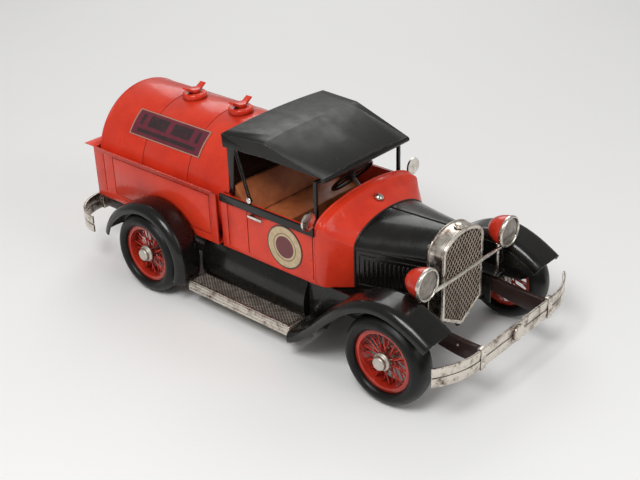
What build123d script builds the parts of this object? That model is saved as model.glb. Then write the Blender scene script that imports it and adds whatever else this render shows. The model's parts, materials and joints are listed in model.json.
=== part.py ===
from build123d import *
from math import atan2, cos, degrees, pi, radians, sin, sqrt
import os

os.makedirs("parts", exist_ok=True)

# A tin toy tanker truck. X runs to the front, Y to the truck's left, Z up.
# The origin is on the floor, under the middle of the truck. Sizes are in millimetres.

# Driving dimensions: the layout along the truck
wheelbase = 219.0
front_overhang = 51.8
rear_overhang = 89.2
overall_length = front_overhang + wheelbase + rear_overhang
front_axle_x = overall_length / 2 - front_overhang
rear_axle_x = front_axle_x - wheelbase
cowl_rear_x = front_axle_x - 73.2
cowl_length = 22.0
hood_length = 47.0
radiator_depth = 12.5
cab_rear_x = rear_axle_x + 59.3
cab_to_bed_gap = 3.5
bed_length = 133.0
roof_rear_inset = 6.5
roof_front_overhang = 2.8

# Wheels
tyre_radius = 30.75
tyre_width = 18.7
track = 132.2
rim_radius = 20.5
rim_width = 11.6
rim_wall = 2.0
rim_lip = 1.0
axle_radius = 2.0
running_clearance = 0.05
hub_radius = 3.4
hub_flange_radius = 6.2
hub_cap_radius = 4.6
hub_cap_height = 2.8
spoke_radius = 0.5
spokes_per_row = 10
axle_z = tyre_radius

# Heights above the axle
frame_bottom_z = axle_z - 8.75
body_bottom_z = axle_z + 17.25
belt_z = axle_z + 52.5
belt_height = 6.0
bed_rail_z = axle_z + 60.0
nose_side_z = axle_z + 45.45
nose_top_z = axle_z + 61.85
hood_bottom_z = body_bottom_z + 0.3
cab_top_z = axle_z + 106.5

# Widths
body_width = 100.0
bed_width = 103.0
bed_rail_flare = 4.6
frame_width = 68.0
nose_width = 73.0
sheet = 1.2
piece_gap = 0.3

# Tank
tank_end_gap = 0.6
tank_side_gap = 2.0
filler_spacing = 48.0
filler_front_x = rear_axle_x + 32.8
filler_neck_radius = 9.0
filler_neck_height = 3.6
nut_stem_radius = 1.8

# Fenders and running boards
fender_inner_y = 47.0
fender_outer_y = 74.0
fender_wheel_gap = 5.2
board_width = 17.0
board_inner_y = 51.3
board_top_z = axle_z - 10.45
board_depth = 7.5
tread_height = 0.5

# Radiator
radiator_width = 43.2
radiator_side_bottom_z = axle_z + 7.75
radiator_side_top_z = axle_z + 52.0
radiator_top_z = axle_z + 64.5
radiator_tip_z = axle_z - 5.5
radiator_border = 2.6
grille_recess = 1.2

# Headlights
lamp_spread = 88.5
lamp_z = axle_z + 46.0
lamp_radius = 11.0
lamp_depth = 15.0
lamp_face_x = front_axle_x + 13.0
tie_bar_radius = 1.2

# Bumpers
bar_height = 6.4
bar_gap = 0.6
bar_thickness = 1.6
bumper_bottom_z = axle_z - 0.9
bumper_half_width = 74.0
badge_radius = 5.5
clamp_y = 37.6
arm_thickness = 4.0

# Steering
steering_wheel_radius = 17.6
steering_wheel_wire = 1.1
steering_tilt = 42.6
steering_y = 22.0
steering_wheel_x = cowl_rear_x - 29.0
steering_wheel_z = axle_z + 61.2
column_radius = 1.5

# Derived stations
cowl_front_x = cowl_rear_x + cowl_length
hood_front_x = cowl_front_x + hood_length
radiator_front_x = hood_front_x + radiator_depth
bed_front_x = cab_rear_x - cab_to_bed_gap
bed_rear_x = bed_front_x - bed_length
frame_front_x = hood_front_x
frame_rear_x = bed_rear_x + 12.0
half_body = body_width / 2
half_bed = bed_width / 2
half_frame = frame_width / 2
nose_half = nose_width / 2
half_track = track / 2
roof_rear_x = cab_rear_x + roof_rear_inset
roof_front_x = cowl_rear_x + roof_front_overhang
belt_top_z = belt_z + belt_height
bumper_z = bumper_bottom_z + bar_height + bar_gap / 2


def save(piece, name):
    """Label one finished piece and write it as its own STEP file."""
    piece.label = name
    export_step(piece, f"parts/{name}.step")


# ---------------------------------------------------------------- chassis
frame_length = frame_front_x - frame_rear_x
frame_mid_x = (frame_front_x + frame_rear_x) / 2
frame_height = body_bottom_z - frame_bottom_z
horn_length = 12.0
horn_half_height = 9.0

with BuildPart() as chassis_frame:
    # A pressed tray: flat floor, upturned sides that carry the body, holes for the axles.
    with BuildSketch(Plane.XY.offset(frame_bottom_z)):
        with Locations((frame_mid_x, 0)):
            Rectangle(frame_length, frame_width)
    extrude(amount=frame_height)
    fillet(chassis_frame.edges().filter_by(Axis.Z), 2.0)
    offset(amount=-sheet, openings=chassis_frame.faces().sort_by(Axis.Z)[-1])
    for y in (half_frame - sheet / 2, -half_frame + sheet / 2):
        with Locations((frame_front_x + horn_length / 2 - 3.0, y, axle_z + 4.0)):
            Box(horn_length + 6.0, sheet, 2 * horn_half_height)
    for x in (front_axle_x, rear_axle_x):
        with BuildSketch(Plane.XZ.offset(-half_frame - 1.0)):
            with Locations((x, axle_z)):
                Circle(axle_radius + running_clearance)
        extrude(amount=frame_width + 2.0, mode=Mode.SUBTRACT)
save(chassis_frame.part, "chassis_frame")

hub_outer = tyre_width / 2 - 1.8
hub_inner = -tyre_width / 2 + 1.6
axle_reach = half_track + hub_outer - 0.8

with BuildPart() as wheel_axles:
    for x in (front_axle_x, rear_axle_x):
        with BuildSketch(Plane.XZ.offset(-axle_reach)):
            with Locations((x, axle_z)):
                Circle(axle_radius)
        extrude(amount=2 * axle_reach)
save(wheel_axles.part, "wheel_axles")

# ---------------------------------------------------------------- wheels


def wheel_pieces(name, x, side):
    """One wheel: tyre, rim, crossed wire spokes, and hub with its cap."""
    centre = (x, side * half_track, axle_z)
    section = Plane(origin=centre, x_dir=(0, 0, 1), z_dir=(-side, 0, 0))
    hub_plane = Plane(origin=centre, x_dir=(1, 0, 0), z_dir=(0, side, 0))
    spin = Axis(centre, (0, side, 0))
    half = tyre_width / 2
    bead = rim_width / 2 - rim_lip

    with BuildPart() as tyre:
        with BuildSketch(section):
            with BuildLine():
                bulge = rim_radius + 0.45 * (tyre_radius - rim_radius)
                wall = rim_radius + rim_lip + 0.2
                Polyline((wall, -bead), (rim_radius, -bead), (rim_radius, bead), (wall, bead))
                outer_wall = TangentArc((bulge, half), (wall, bead), tangent=(-1, 0))
                mirror(outer_wall, about=Plane.XZ)
                EllipticalCenterArc((bulge, 0), tyre_radius - bulge, half, start_angle=-90, arc_size=180)
            make_face()
        revolve(axis=spin)
    save(tyre.part, f"{name}_tyre")

    rim_inner = rim_radius - rim_wall
    with BuildPart() as rim:
        with BuildSketch(section):
            with BuildLine():
                lip_top = rim_radius + rim_lip
                edge = rim_width / 2
                Polyline((rim_inner, -edge), (lip_top, -edge), (lip_top, -bead), (rim_radius, -bead),
                         (rim_radius, bead), (lip_top, bead), (lip_top, edge), (rim_inner, edge), close=True)
            make_face()
        revolve(axis=spin)
    save(rim.part, f"{name}_rim")

    with BuildPart() as hub:
        flange = 1.2
        with BuildSketch(section):
            with BuildLine():
                bore = axle_radius + running_clearance
                Polyline((0, hub_outer), (bore, hub_outer), (bore, hub_inner), (hub_radius, hub_inner),
                         (hub_radius, hub_inner + 1.0), (hub_flange_radius, hub_inner + 1.0),
                         (hub_flange_radius, hub_inner + 1.0 + flange), (hub_radius, hub_inner + 2.8),
                         (hub_radius, hub_outer - 3.4), (hub_flange_radius, hub_outer - 2.2),
                         (hub_flange_radius, hub_outer - 1.0), (hub_cap_radius, hub_outer),
                         (hub_cap_radius, hub_outer + hub_cap_height - 0.8),
                         (hub_cap_radius - 0.8, hub_outer + hub_cap_height),
                         (0, hub_outer + hub_cap_height), close=True)
            make_face()
        revolve(axis=spin)
    save(hub.part, f"{name}_hub")

    with BuildPart() as spokes:
        # Each row crosses leading and trailing wires, one just outside the other.
        rows = ((hub_outer - 4.4, 1.8, 1, 0), (hub_outer - 5.8, 0.4, -1, 0),
                (hub_inner + 4.2, -1.8, 1, 0.5), (hub_inner + 5.6, -0.4, -1, 0.5))
        for hub_w, rim_w, lean, row_turn in rows:
            sweep_angle = 360 / spokes_per_row * 0.75 * lean
            for k in range(spokes_per_row):
                a = radians(360 / spokes_per_row * (k + row_turn))
                b = a + radians(sweep_angle)
                start = hub_plane.from_local_coords((hub_radius * cos(a), hub_radius * sin(a), hub_w))
                end = hub_plane.from_local_coords((rim_inner * cos(b), rim_inner * sin(b), rim_w))
                along = Vector(*end) - Vector(*start)
                inset = 0.35
                first = Vector(*start) + along.normalized() * inset
                with BuildSketch(Plane(origin=first, z_dir=along)):
                    Circle(spoke_radius)
                extrude(amount=along.length - 2 * inset)
    save(spokes.part, f"{name}_spokes")


for end_name, x in (("front", front_axle_x), ("rear", rear_axle_x)):
    for side_name, side in (("left", 1), ("right", -1)):
        wheel_pieces(f"{end_name}_{side_name}", x, side)

# ---------------------------------------------------------------- fenders
fender_sheet = 1.1
fender_lip = 6.8
shoulder_radius = 6.0
crown_radius = tyre_radius + fender_wheel_gap + 3.4
board_front_x = front_axle_x - 81.9
board_rear_x = rear_axle_x + 38.8
rear_fender_inner_y = half_bed + piece_gap / 2
curve_steps = 12

front_crown_points = ((board_front_x + 1.0, board_top_z - 1.0), (front_axle_x - 72.0, board_top_z + 3.4),
                      (front_axle_x - 60.0, axle_z + 3.4),
                      (front_axle_x - 36.0, axle_z + 26.0), (front_axle_x - 3.0, axle_z + crown_radius),
                      (front_axle_x + 25.0, axle_z + 31.4), (front_axle_x + 36.0, axle_z + 25.0))
rear_arc_radius = crown_radius - 1.0
rear_arc_angles = [radians(a) for a in (90, 65, 35, 5, -25)]
rear_arc_points = [(rear_axle_x + rear_arc_radius * cos(a), axle_z + rear_arc_radius * sin(a))
                   for a in rear_arc_angles]
rear_crown_points = ((rear_axle_x - 48.0, axle_z + 4.0), (rear_axle_x - 41.0, axle_z + 17.0),
                     (rear_axle_x - 25.0, axle_z + 30.5), *rear_arc_points)


def inset_points(points, depth):
    """Points of the crown line moved towards the wheel by a depth."""
    crown = Edge.make_spline([Vector(*p) for p in points])
    moved = []
    for k in range(curve_steps + 1):
        along = crown % (k / curve_steps)
        moved.append(crown @ (k / curve_steps) + Vector(along.Y, -along.X) * depth)
    return moved


def fender_band(points, upper, lower, outer_y, inner_y, radius):
    """A band under the crown line, as wide as the fender, with rounded shoulders."""
    top_points = inset_points(points, upper)
    low_points = inset_points(points, lower)
    with BuildPart() as band:
        with BuildSketch(Plane.XZ.offset(-outer_y)):
            with BuildLine():
                top = Spline(top_points)
                low = Spline(low_points)
                Line(top @ 0, low @ 0)
                Line(top @ 1, low @ 1)
            make_face()
        extrude(amount=outer_y - inner_y)
        for side_face in (band.faces().sort_by(Axis.Y)[-1], band.faces().sort_by(Axis.Y)[0]):
            highest = side_face.edges().sort_by(Axis.Z)[-1]
            fillet(highest, radius)
    return band.part


def fender(points, inner_y):
    """A pressed fender: crowned top, rolled shoulders, and a lip on each side."""
    outside = fender_band(points, 0.0, fender_lip, fender_outer_y, inner_y, shoulder_radius)
    inside = fender_band(points, fender_sheet, fender_lip + 4.0, fender_outer_y - fender_sheet,
                         inner_y + fender_sheet, shoulder_radius - fender_sheet)
    with BuildPart() as shell:
        add(outside)
        add(inside, mode=Mode.SUBTRACT)
    return shell.part


fender_kinds = (("front_fender", front_crown_points, fender_inner_y),
                ("rear_fender", rear_crown_points, rear_fender_inner_y))
for label, points, inner_y in fender_kinds:
    left_fender = fender(points, inner_y)
    save(left_fender, f"{label}_left")
    save(mirror(left_fender, about=Plane.XZ), f"{label}_right")

# ---------------------------------------------------------------- running boards and aprons
board_length = board_front_x - board_rear_x
board_mid_x = (board_front_x + board_rear_x) / 2
board_mid_y = board_inner_y + board_width / 2

with BuildPart() as running_boards:
    with BuildSketch(Plane.XY.offset(board_top_z - board_depth)):
        with Locations((board_mid_x, board_mid_y)):
            Rectangle(board_length, board_width)
    extrude(amount=board_depth)
    fillet(running_boards.edges().group_by(Axis.Z)[-1], 0.8)
    offset(amount=-sheet, openings=running_boards.faces().sort_by(Axis.Z)[0])
    mirror(about=Plane.XZ)
save(running_boards.part, "running_boards")

tread_margin = 2.4
with BuildPart() as board_treads:
    with BuildSketch(Plane.XY.offset(board_top_z)):
        with Locations((board_mid_x, board_mid_y)):
            Rectangle(board_length - 2 * tread_margin, board_width - 2 * tread_margin)
    extrude(amount=tread_height)
    mirror(about=Plane.XZ)
save(board_treads.part, "running_board_treads")

apron_bulge = 3.4
apron_top_y = half_body - 3.2
plate_front_x = front_axle_x + 10.0
wall_outer_y = fender_inner_y - piece_gap
wall_rear_x = board_front_x - 1.0
wall_top_z = body_bottom_z - piece_gap
wall_foot_z = board_top_z - 6.3
with BuildPart() as side_aprons:
    # A rounded panel that fills the space between the body sill and the running board.
    with BuildSketch(Plane.YZ.offset(board_rear_x)):
        with BuildLine():
            low_z = board_top_z + piece_gap
            low_y = board_inner_y + 1.0
            mid_y = (apron_top_y + low_y) / 2 + apron_bulge
            mid_z = (wall_top_z + low_z) / 2
            outer = ThreePointArc((apron_top_y, wall_top_z), (mid_y, mid_z), (low_y, low_z))
            inner = ThreePointArc((apron_top_y - sheet, wall_top_z), (mid_y - sheet, mid_z),
                                  (low_y - sheet, low_z))
            Line(outer @ 0, inner @ 0)
            Line(outer @ 1, inner @ 1)
        make_face()
    extrude(amount=board_length)
    # A flat end closes the apron behind the front fender.
    with BuildSketch(Plane.YZ.offset(wall_rear_x)):
        with BuildLine():
            edge = ThreePointArc((apron_top_y, wall_top_z), (mid_y, mid_z), (low_y, low_z))
            wall_inner_y = wall_outer_y - sheet
            Polyline(edge @ 1, (wall_inner_y, low_z), (wall_inner_y, wall_top_z), edge @ 0)
        make_face()
    extrude(amount=board_front_x - wall_rear_x)
    # A flat splash plate from the frame to the front fender carries the lamp post.
    plate_inner_y = half_frame + piece_gap
    plate_width = wall_outer_y - plate_inner_y
    with BuildSketch(Plane.XY.offset(body_bottom_z - 2 * sheet)):
        with Locations(((wall_rear_x + plate_front_x) / 2, plate_inner_y + plate_width / 2)):
            Rectangle(plate_front_x - wall_rear_x, plate_width)
    extrude(amount=sheet)
    # An upright wall along the inner edge of the front fender closes the space under the cowl.
    crown_edge = [v for v in inset_points(front_crown_points, shoulder_radius) if v.Y > wall_top_z + 2.0]
    with BuildSketch(Plane.XZ.offset(-wall_outer_y)):
        with BuildLine():
            rise = Spline([(v.X, v.Y) for v in crown_edge])
            Polyline(rise @ 1, (front_axle_x + 22.0, axle_z + 12.0), (front_axle_x - 56.0, axle_z + 6.0),
                     (front_axle_x - 68.0, wall_foot_z), (wall_rear_x, wall_foot_z),
                     (wall_rear_x, wall_top_z), (crown_edge[0].X - 4.0, wall_top_z), rise @ 0)
        make_face()
    extrude(amount=sheet)
    mirror(about=Plane.XZ)
save(side_aprons.part, "side_aprons")

# ---------------------------------------------------------------- cab
cab_length = cowl_rear_x - cab_rear_x
cab_mid_x = (cowl_rear_x + cab_rear_x) / 2
cab_back_x = roof_rear_x
seam_width = 0.9
seam_depth = 0.5
door_rear_x = cab_rear_x + 25.5
door_front_x = cowl_rear_x - 1.6

with BuildPart() as cab_body:
    # Two sides and an inset back wall. The seams of the doors are pressed lines.
    with BuildSketch(Plane.XY.offset(body_bottom_z)):
        for y in (half_body - sheet / 2, -half_body + sheet / 2):
            with Locations((cab_mid_x, y)):
                Rectangle(cab_length, sheet)
        with Locations((cab_back_x + sheet / 2, 0)):
            Rectangle(sheet, body_width - 2 * sheet)
    extrude(amount=belt_top_z - body_bottom_z)
    seam_height = belt_z - body_bottom_z - 3.0
    for x in (cab_rear_x + 6.5, door_rear_x, door_front_x):
        for y in (half_body - seam_depth / 2, -half_body + seam_depth / 2):
            with Locations((x, y, body_bottom_z + 3.0 + seam_height / 2)):
                Box(seam_width, seam_depth, seam_height, mode=Mode.SUBTRACT)
save(cab_body.part, "cab_body")

belt_proud = 1.3
with BuildPart() as belt_mouldings:
    with BuildSketch(Plane.XY.offset(belt_z)):
        with Locations((cab_mid_x, half_body + belt_proud / 2)):
            Rectangle(cab_length, belt_proud)
    extrude(amount=belt_height)
    fillet(belt_mouldings.faces().sort_by(Axis.Y)[-1].edges().filter_by(Axis.X), 0.8)
    mirror(about=Plane.XZ)
save(belt_mouldings.part, "belt_mouldings")

seat_deck_z = body_bottom_z + 14.0
seat_front_x = cab_back_x + 40.0
floor_half = half_body - sheet - piece_gap
with BuildPart() as cab_floor:
    # Floor, toe board and the bent deck under the seat.
    floor_rear_x = cab_back_x + sheet
    floor_front_x = cowl_front_x - 2.0
    toe_half = nose_half - 2 * sheet
    toe_top_z = belt_z - 8.0
    with BuildSketch(Plane.XY.offset(body_bottom_z)):
        with BuildLine():
            Polyline((floor_rear_x, -floor_half), (cowl_rear_x, -floor_half),
                     (floor_front_x, -toe_half), (floor_front_x, toe_half),
                     (cowl_rear_x, floor_half), (floor_rear_x, floor_half), close=True)
        make_face()
    extrude(amount=sheet)
    with BuildSketch(Plane.XZ.offset(-floor_half + 4.0)):
        with BuildLine():
            Polyline((floor_rear_x, seat_deck_z - sheet), (seat_front_x - sheet, seat_deck_z - sheet),
                     (seat_front_x - sheet, body_bottom_z), (seat_front_x, body_bottom_z),
                     (seat_front_x, seat_deck_z), (floor_rear_x, seat_deck_z), close=True)
        make_face()
    extrude(amount=2 * (floor_half - 4.0))
    with Locations((floor_front_x - sheet / 2, 0, (body_bottom_z + toe_top_z) / 2)):
        Box(sheet, 2 * toe_half, toe_top_z - body_bottom_z)
save(cab_floor.part, "cab_floor")

post_y = half_body - 3.2
back_top_z = cab_top_z - 4.4
valance_z = axle_z + 94.0
with BuildPart() as cab_back:
    # Upper back wall, with a post at each corner that carries the roof.
    with BuildSketch(Plane.XY.offset(belt_top_z)):
        with Locations((cab_back_x + sheet / 2, 0)):
            Rectangle(sheet, 2 * post_y)
    extrude(amount=back_top_z - belt_top_z)
    with BuildSketch(Plane.XZ.offset(-post_y)):
        with BuildLine():
            Polyline((cab_back_x, belt_top_z), (cab_back_x + 3.4, belt_top_z),
                     (cab_back_x + 6.6, valance_z - 5.0), (cab_back_x + 14.0, valance_z + 1.0),
                     (cab_back_x + 14.0, back_top_z), (cab_back_x, back_top_z), close=True)
        make_face()
    extrude(amount=sheet)
    mirror(about=Plane.XZ)
save(cab_back.part, "cab_back")

seat_half = post_y - sheet - 2 * piece_gap
cushion_top_z = seat_deck_z + 13.5
with BuildPart() as seat_cushion:
    with BuildSketch(Plane.XY.offset(seat_deck_z + piece_gap)):
        with Locations(((cab_back_x + sheet + piece_gap + seat_front_x) / 2, 0)):
            Rectangle(seat_front_x - cab_back_x - sheet - piece_gap, 2 * seat_half)
    extrude(amount=cushion_top_z - seat_deck_z - piece_gap)
    fillet(seat_cushion.faces().sort_by(Axis.Z)[-1].edges(), 2.5)
save(seat_cushion.part, "seat_cushion")

seat_back_top_z = belt_top_z + 6.0
with BuildPart() as seat_back:
    back_start_x = cab_back_x + sheet + piece_gap
    with BuildSketch(Plane.XZ.offset(-seat_half)):
        with BuildLine():
            Polyline((back_start_x, cushion_top_z + piece_gap),
                     (back_start_x + 16.5, cushion_top_z + piece_gap),
                     (back_start_x + 4.0, seat_back_top_z), (back_start_x, seat_back_top_z), close=True)
        make_face()
    extrude(amount=2 * seat_half)
    fillet(seat_back.edges().filter_by(Axis.Y), 1.2)
save(seat_back.part, "seat_back")

# ---------------------------------------------------------------- roof and windshield
roof_sheet = 1.4
roof_crease_x = roof_rear_x + 35.0
roof_stations = ((roof_rear_x, 50.9, cab_top_z - 0.7), (roof_crease_x, 47.3, cab_top_z),
                 (roof_front_x, 43.7, cab_top_z - 13.0))


def roof_section(x, half_width, top_z, low_z):
    """Section across the canopy: a low bow on top and a straight valance on each side."""
    edge_z = top_z - 2.0
    with BuildSketch(Plane.YZ.offset(x)) as section:
        with BuildLine():
            ThreePointArc((-half_width, edge_z), (0, top_z), (half_width, edge_z))
            Polyline((half_width, edge_z), (half_width - 0.8, low_z), (-half_width + 0.8, low_z),
                     (-half_width, edge_z))
        make_face()
    return section.sketch


visor_radius = 1.8
with BuildPart() as roof_canopy:
    outer = [roof_section(x, w, z, valance_z - 3.0 * (x == roof_front_x)) for x, w, z in roof_stations]
    loft(sections=outer, ruled=True)
    inner = [roof_section(x, w - roof_sheet, z - roof_sheet, valance_z - 4.0) for x, w, z in roof_stations]
    inner_solid = loft(sections=inner, ruled=True, mode=Mode.PRIVATE)
    add(inner_solid, mode=Mode.SUBTRACT)
    rear_half, rear_top_z = roof_stations[0][1:]
    extrude(roof_section(roof_rear_x, rear_half, rear_top_z, back_top_z + piece_gap), amount=roof_sheet)
    front_edge_z = roof_stations[-1][2] - 3.4
    with BuildSketch(Plane.XZ.offset(-roof_stations[-1][1] + 0.6)):
        with Locations((roof_front_x, front_edge_z)):
            Circle(visor_radius)
    extrude(amount=2 * (roof_stations[-1][1] - 0.6))
save(roof_canopy.part, "roof_canopy")

windshield_x = cowl_rear_x - 4.4
post_width = 2.4
windshield_half = 43.6
with BuildPart() as windshield_frame:
    low_z = belt_z + 1.0
    high_z = front_edge_z - visor_radius - piece_gap
    with BuildSketch(Plane.YZ.offset(windshield_x - post_width / 2)):
        with Locations((0, (low_z + high_z) / 2)):
            Rectangle(2 * windshield_half, high_z - low_z)
            Rectangle(2 * (windshield_half - post_width), high_z - low_z - 2 * post_width, mode=Mode.SUBTRACT)
    extrude(amount=post_width)
save(windshield_frame.part, "windshield_frame")


def rod(start, end, radius):
    """A straight round rod between two points."""
    along = Vector(*end) - Vector(*start)
    with Locations(Plane(origin=start, z_dir=along).location):
        Cylinder(radius, along.length, align=(Align.CENTER, Align.CENTER, Align.MIN))


landau_y = half_body - 0.8
with BuildPart() as landau_bars:
    # Twin stays from the roof valance down to a knob on the belt.
    knob_x = cab_back_x + 21.6
    for shift in (-1.1, 1.1):
        rod((knob_x - 10.5 + shift, landau_y, valance_z - piece_gap),
            (knob_x + shift, landau_y, belt_top_z + 3.2), 0.6)
    rod((knob_x, landau_y - 0.8, belt_top_z + 2.1), (knob_x, landau_y + 1.4, belt_top_z + 2.1), 2.0)
    mirror(about=Plane.XZ)
save(landau_bars.part, "landau_bars")

mirror_radius = 6.2
mirror_y = half_body + 4.2
mirror_z = belt_top_z + mirror_radius + 0.2
mirror_x = windshield_x + 3.0
with BuildPart() as side_mirrors:
    with BuildSketch(Plane.YZ.offset(mirror_x)):
        with Locations((mirror_y, mirror_z)):
            Circle(mirror_radius)
    extrude(amount=1.4)
    rod((mirror_x + 0.7, mirror_y, belt_top_z + 1.2), (mirror_x + 0.7, half_body + 0.3, belt_top_z + 1.1), 0.9)
    mirror(about=Plane.XZ)
save(side_mirrors.part, "side_mirrors")

handle_x = door_rear_x + 9.5
with BuildPart() as door_handles:
    with Locations((handle_x, half_body + 2.2, belt_z - 2.2)):
        Box(13.0, 1.2, 1.8)
    with Locations((handle_x - 4.0, half_body + 0.8, belt_z - 2.2)):
        Box(2.2, 1.6, 1.6)
    mirror(about=Plane.XZ)
save(door_handles.part, "door_handles")

emblem_radius = 15.7
emblem_x = door_front_x - 25.0
print_thickness = 0.4
with BuildPart() as door_emblems:
    with BuildSketch(Plane.XZ.offset(-half_body - print_thickness)):
        with Locations((emblem_x, body_bottom_z + 19.0)):
            Circle(emblem_radius)
    extrude(amount=print_thickness)
    mirror(about=Plane.XZ)
save(door_emblems.part, "door_emblems")

# ---------------------------------------------------------------- cowl, hood and radiator


def arch_section(x, half_width, low_z, side_z, top_z):
    """Section across the nose: straight sides under a half ellipse."""
    with BuildSketch(Plane.YZ.offset(x)) as section:
        with BuildLine():
            EllipticalCenterArc((0, side_z), half_width, top_z - side_z, start_angle=0, arc_size=180)
            Polyline((-half_width, side_z), (-half_width, low_z), (half_width, low_z), (half_width, side_z))
        make_face()
    return section.sketch


def arched_shell(stations, low_z):
    """A thin arched cover through the stations (x, half width, side height, top height), open below."""
    with BuildPart() as cover:
        for first, second in zip(stations, stations[1:]):
            loft(sections=[arch_section(x, w, low_z, s, t) for x, w, s, t in (first, second)])
        for first, second in zip(stations, stations[1:]):
            hollow = loft(sections=[arch_section(x, w - sheet, low_z - 1.0, s, t - sheet)
                                    for x, w, s, t in (first, second)], mode=Mode.PRIVATE)
            add(hollow, mode=Mode.SUBTRACT)
    return cover.part


cowl_top_z = axle_z + 72.6
cowl_step_x = cowl_rear_x + 9.5
cowl_step_top_z = axle_z + 66.25
hood_front_half = radiator_width / 2 + 0.6
cowl_shell = arched_shell(((cowl_rear_x, half_body, belt_top_z, cowl_top_z),
                           (cowl_step_x - 2.5, half_body - 0.8, belt_top_z - 0.2, cowl_top_z - 1.4),
                           (cowl_step_x, half_body - 3.0, belt_z + 2.6, cowl_step_top_z),
                           (cowl_front_x, nose_half, nose_side_z, nose_top_z)), body_bottom_z)
save(cowl_shell, "cowl")

hood_shell = arched_shell(((cowl_front_x, nose_half - 0.3, nose_side_z - 0.3, nose_top_z - 0.3),
                           (hood_front_x, hood_front_half, radiator_side_top_z - 6.0, radiator_top_z - 1.2)),
                          hood_bottom_z)
save(hood_shell, "hood")

with BuildPart() as dashboard:
    dash_low_z = belt_z - 3.0
    dash = arch_section(cowl_rear_x - 2.6, half_body - 5.0, dash_low_z, belt_z + 3.0, cowl_top_z - 2.6)
    extrude(dash, amount=1.4)
save(dashboard.part, "dashboard")


def dome_middle(radius, low, high):
    """Middle point of a dome's arc whose centre lies on the axis, from (radius, low) to (0, high)."""
    rise = high - low
    ball = (radius ** 2 + rise ** 2) / (2 * rise)
    half_angle = atan2(radius, ball - rise) / 2
    return (ball * sin(half_angle), high - ball + ball * cos(half_angle))


cowl_cap_x = cowl_rear_x + 12.8
cowl_cap_radius = 3.2
with BuildPart() as cowl_cap:
    # The domed cap of the fuel filler on top of the cowl.
    slope_drop = cowl_step_top_z - nose_top_z
    slope_run = cowl_front_x - cowl_step_x
    slope = atan2(slope_drop, slope_run)
    seat_z = nose_top_z + slope_drop * (cowl_front_x - cowl_cap_x) / slope_run + 0.1
    cap_section = Plane(origin=(cowl_cap_x, 0, seat_z), x_dir=(cos(slope), 0, -sin(slope)), z_dir=(0, -1, 0))
    with BuildSketch(cap_section):
        with BuildLine():
            Polyline((0, 3.0), (0, 0), (cowl_cap_radius, 0), (cowl_cap_radius, 1.0))
            ThreePointArc((cowl_cap_radius, 1.0), dome_middle(cowl_cap_radius, 1.0, 3.0), (0, 3.0))
        make_face()
    revolve(axis=Axis((cowl_cap_x, 0, seat_z), (sin(slope), 0, cos(slope))))
save(cowl_cap.part, "cowl_cap")


def radiator_outline(inset):
    """The radiator outline, drawn in with an inset: straight sides, arched top, shallow V below."""
    half = radiator_width / 2 - inset
    rise = radiator_top_z - radiator_side_top_z - inset
    EllipticalCenterArc((0, radiator_side_top_z), half, rise, start_angle=0, arc_size=180)
    Polyline((-half, radiator_side_top_z), (-half, radiator_side_bottom_z + 0.3 * inset),
             (0, radiator_tip_z + 1.2 * inset), (half, radiator_side_bottom_z + 0.3 * inset),
             (half, radiator_side_top_z))


with BuildPart() as radiator_shell:
    shell_steps = ((hood_front_x, radiator_depth, 0, Mode.ADD),
                   (hood_front_x, radiator_depth - grille_recess, sheet, Mode.SUBTRACT),
                   (hood_front_x, radiator_depth, radiator_border, Mode.SUBTRACT))
    for x, depth, inset, mode in shell_steps:
        with BuildSketch(Plane.YZ.offset(x)):
            with BuildLine():
                radiator_outline(inset)
            make_face()
        extrude(amount=depth, mode=mode)
    # The foot is cut back to leave room for the front axle.
    notch_depth = front_axle_x + axle_radius + 1.5 - hood_front_x
    with Locations((hood_front_x + notch_depth / 2, 0, axle_z)):
        Box(notch_depth, radiator_width, 4 * axle_radius + 4.0, mode=Mode.SUBTRACT)
save(radiator_shell.part, "radiator_shell")

grille_thickness = 0.9
with BuildPart() as grille_mesh:
    with BuildSketch(Plane.YZ.offset(radiator_front_x - grille_recess - grille_thickness)):
        with BuildLine():
            radiator_outline(sheet + 0.2)
        make_face()
    extrude(amount=grille_thickness)
save(grille_mesh.part, "grille_mesh")

cap_x = radiator_front_x - 4.6
with BuildPart() as radiator_cap:
    with BuildSketch(Plane.XY.offset(radiator_top_z)):
        with Locations((cap_x, 0)):
            Circle(3.4)
    extrude(amount=1.2)
    with BuildSketch(Plane.XY.offset(radiator_top_z + 1.2)):
        with Locations((cap_x, 0)):
            Circle(2.4)
    extrude(amount=1.2)
save(radiator_cap.part, "radiator_cap")

# ---------------------------------------------------------------- headlights
lamp_y = lamp_spread / 2
bucket_radius = lamp_radius - 0.6
lamp_axis = Axis((lamp_face_x, lamp_y, lamp_z), (1, 0, 0))
lamp_section = Plane(origin=(lamp_face_x, lamp_y, lamp_z), x_dir=(1, 0, 0), z_dir=(0, -1, 0))

with BuildPart() as headlight_buckets:
    with BuildSketch(lamp_section):
        with BuildLine():
            wall = 1.0
            bowl_ends = ((-1, 0), (0, -1))
            outer = Spline((-1.4, bucket_radius), (-0.68 * lamp_depth, 0.76 * bucket_radius),
                           (-lamp_depth, 0), tangents=bowl_ends)
            inner = Spline((-1.4, bucket_radius - wall), (-0.65 * lamp_depth, 0.67 * bucket_radius),
                           (-lamp_depth + wall, 0), tangents=bowl_ends)
            Line(outer @ 0, inner @ 0)
            Line(outer @ 1, inner @ 1)
        make_face()
    revolve(axis=lamp_axis)
    mirror(about=Plane.XZ)
save(headlight_buckets.part, "headlight_buckets")

with BuildPart() as headlight_rims:
    with BuildSketch(lamp_section):
        with BuildLine():
            Polyline((-1.4, lamp_radius - 2.0), (-1.4, lamp_radius), (0.2, lamp_radius),
                     (1.0, lamp_radius - 0.8), (1.0, lamp_radius - 1.4), (0.2, lamp_radius - 2.0), close=True)
        make_face()
    revolve(axis=lamp_axis)
    mirror(about=Plane.XZ)
save(headlight_rims.part, "headlight_rims")

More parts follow.
